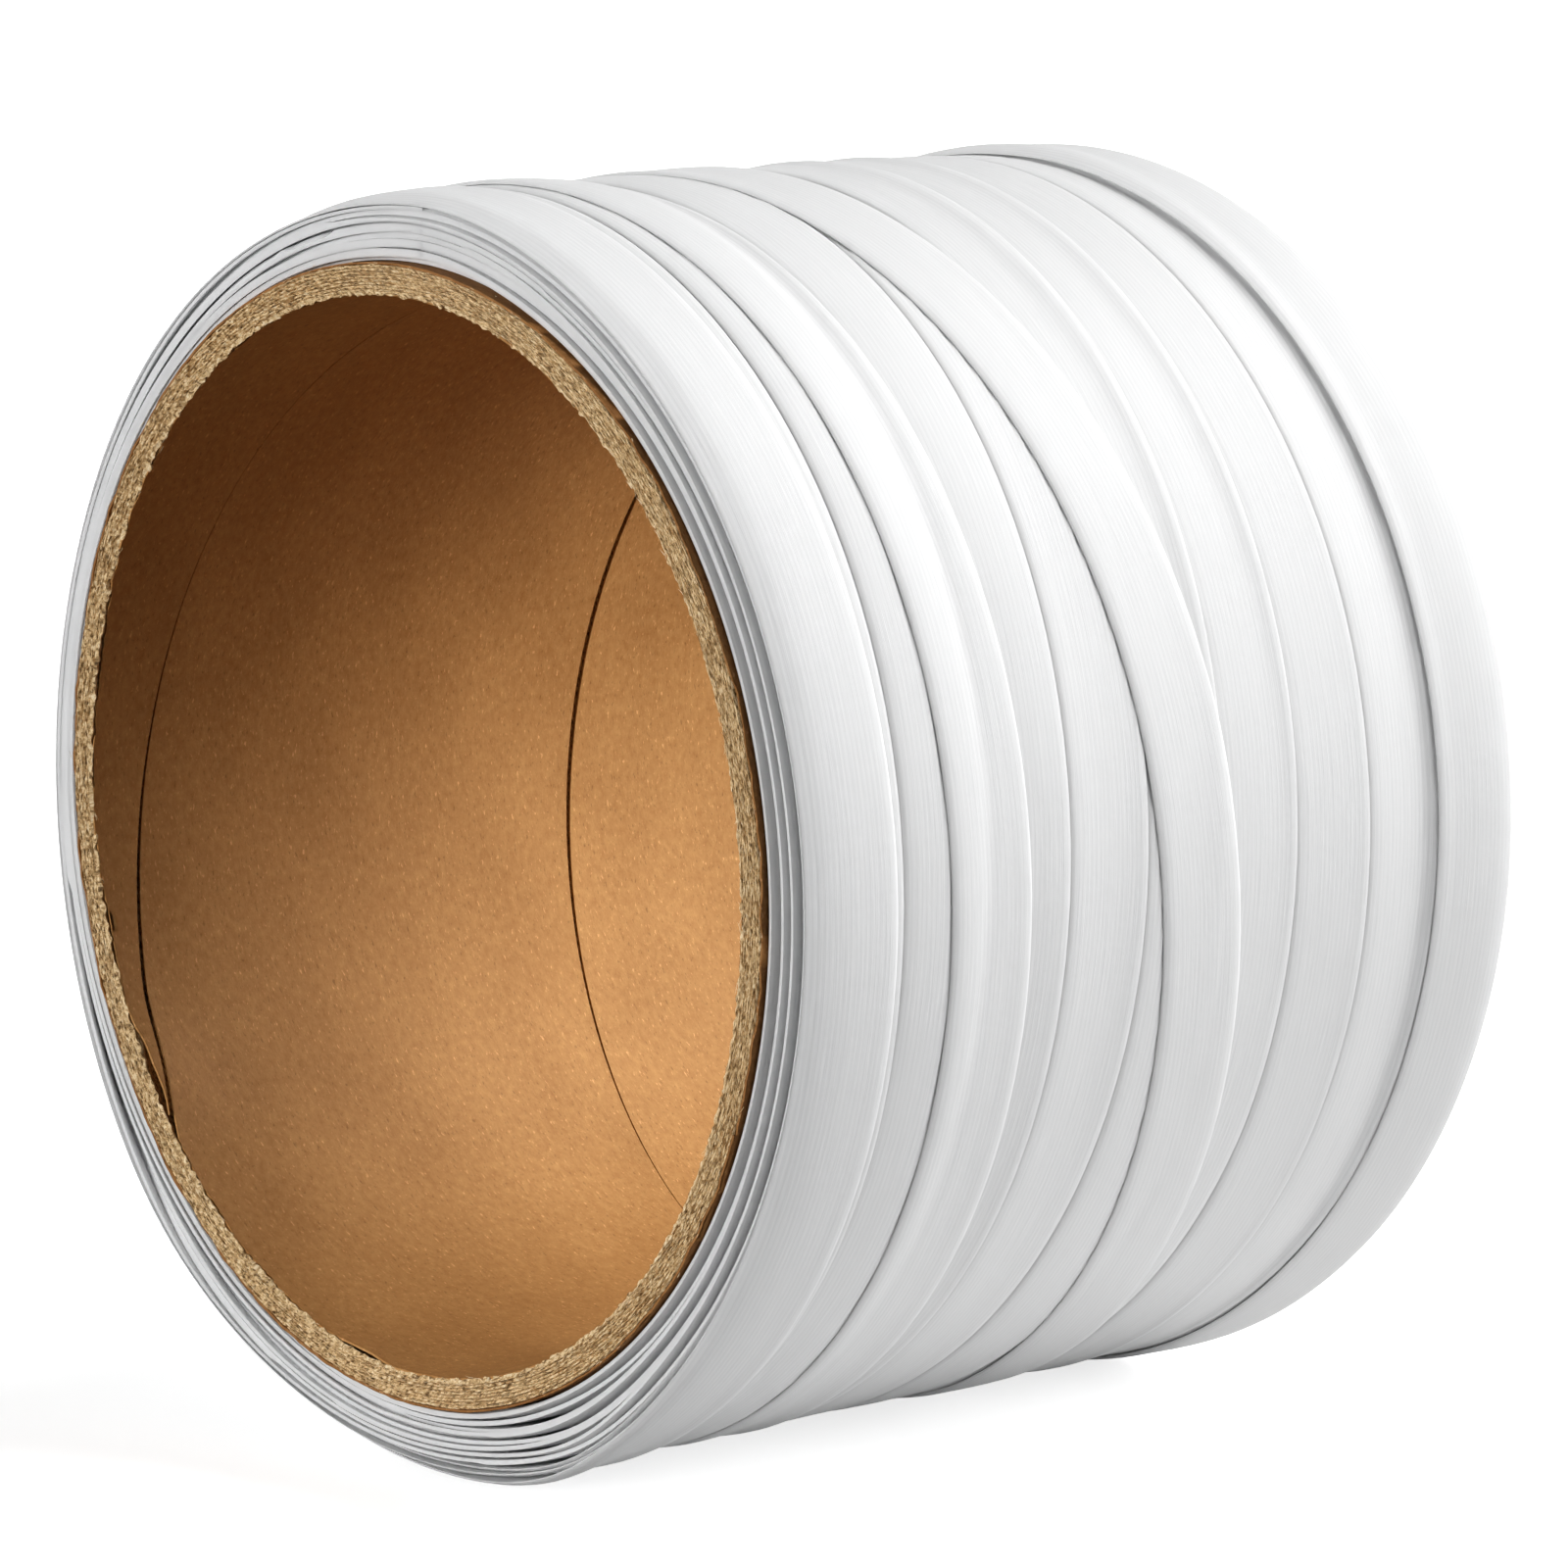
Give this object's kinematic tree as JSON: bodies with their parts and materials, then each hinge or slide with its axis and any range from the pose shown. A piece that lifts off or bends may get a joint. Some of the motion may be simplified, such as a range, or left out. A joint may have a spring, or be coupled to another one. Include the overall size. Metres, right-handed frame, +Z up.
{
  "type": "corded strap roll",
  "caption": "Flat corded polyester tie strap, traverse-wound in layers on a wide spiral-wound paperboard core whose open bore slips over a dispenser mandrel.",
  "frame": {"origin": "centre of the core's bore, on its axis and halfway along it", "axes": "+X along the bore, +Z up with the roll lying on its side, the strap's loose end on the +Y side near +X"},
  "size_m": [0.172, 0.2432, 0.2429],
  "materials": {
    "core_liner": "matte",
    "core_board": "matte",
    "strap": "satin"
  },
  "bodies": {
    "roll": {"core_inner_liner": "core_liner", "core_ply_01": "core_board", "core_ply_02": "core_board", "core_ply_03": "core_board", "core_ply_04": "core_board", "core_ply_05": "core_board", "core_ply_06": "core_board", "core_ply_07": "core_board", "core_ply_08": "core_board", "core_outer_liner": "core_liner", "strap_layer_01": "strap", "strap_layer_02": "strap", "strap_layer_03": "strap", "strap_layer_04": "strap", "strap_layer_05": "strap", "strap_layer_06": "strap", "strap_layer_07": "strap", "strap_layer_08": "strap", "strap_layer_09": "strap", "strap_layer_10": "strap", "strap_layer_11": "strap", "strap_layer_12": "strap"},
    "free_end": {"strap_free_end": "strap"}
  },
  "joints": [
    {"name": "free_end_peel", "type": "hinge", "parent": "roll", "child": "free_end", "pos_m": [0.0741, 0.11412, 0.04191], "axis": [-1, 0, 0], "range_deg": [0, 60]}
  ]
}
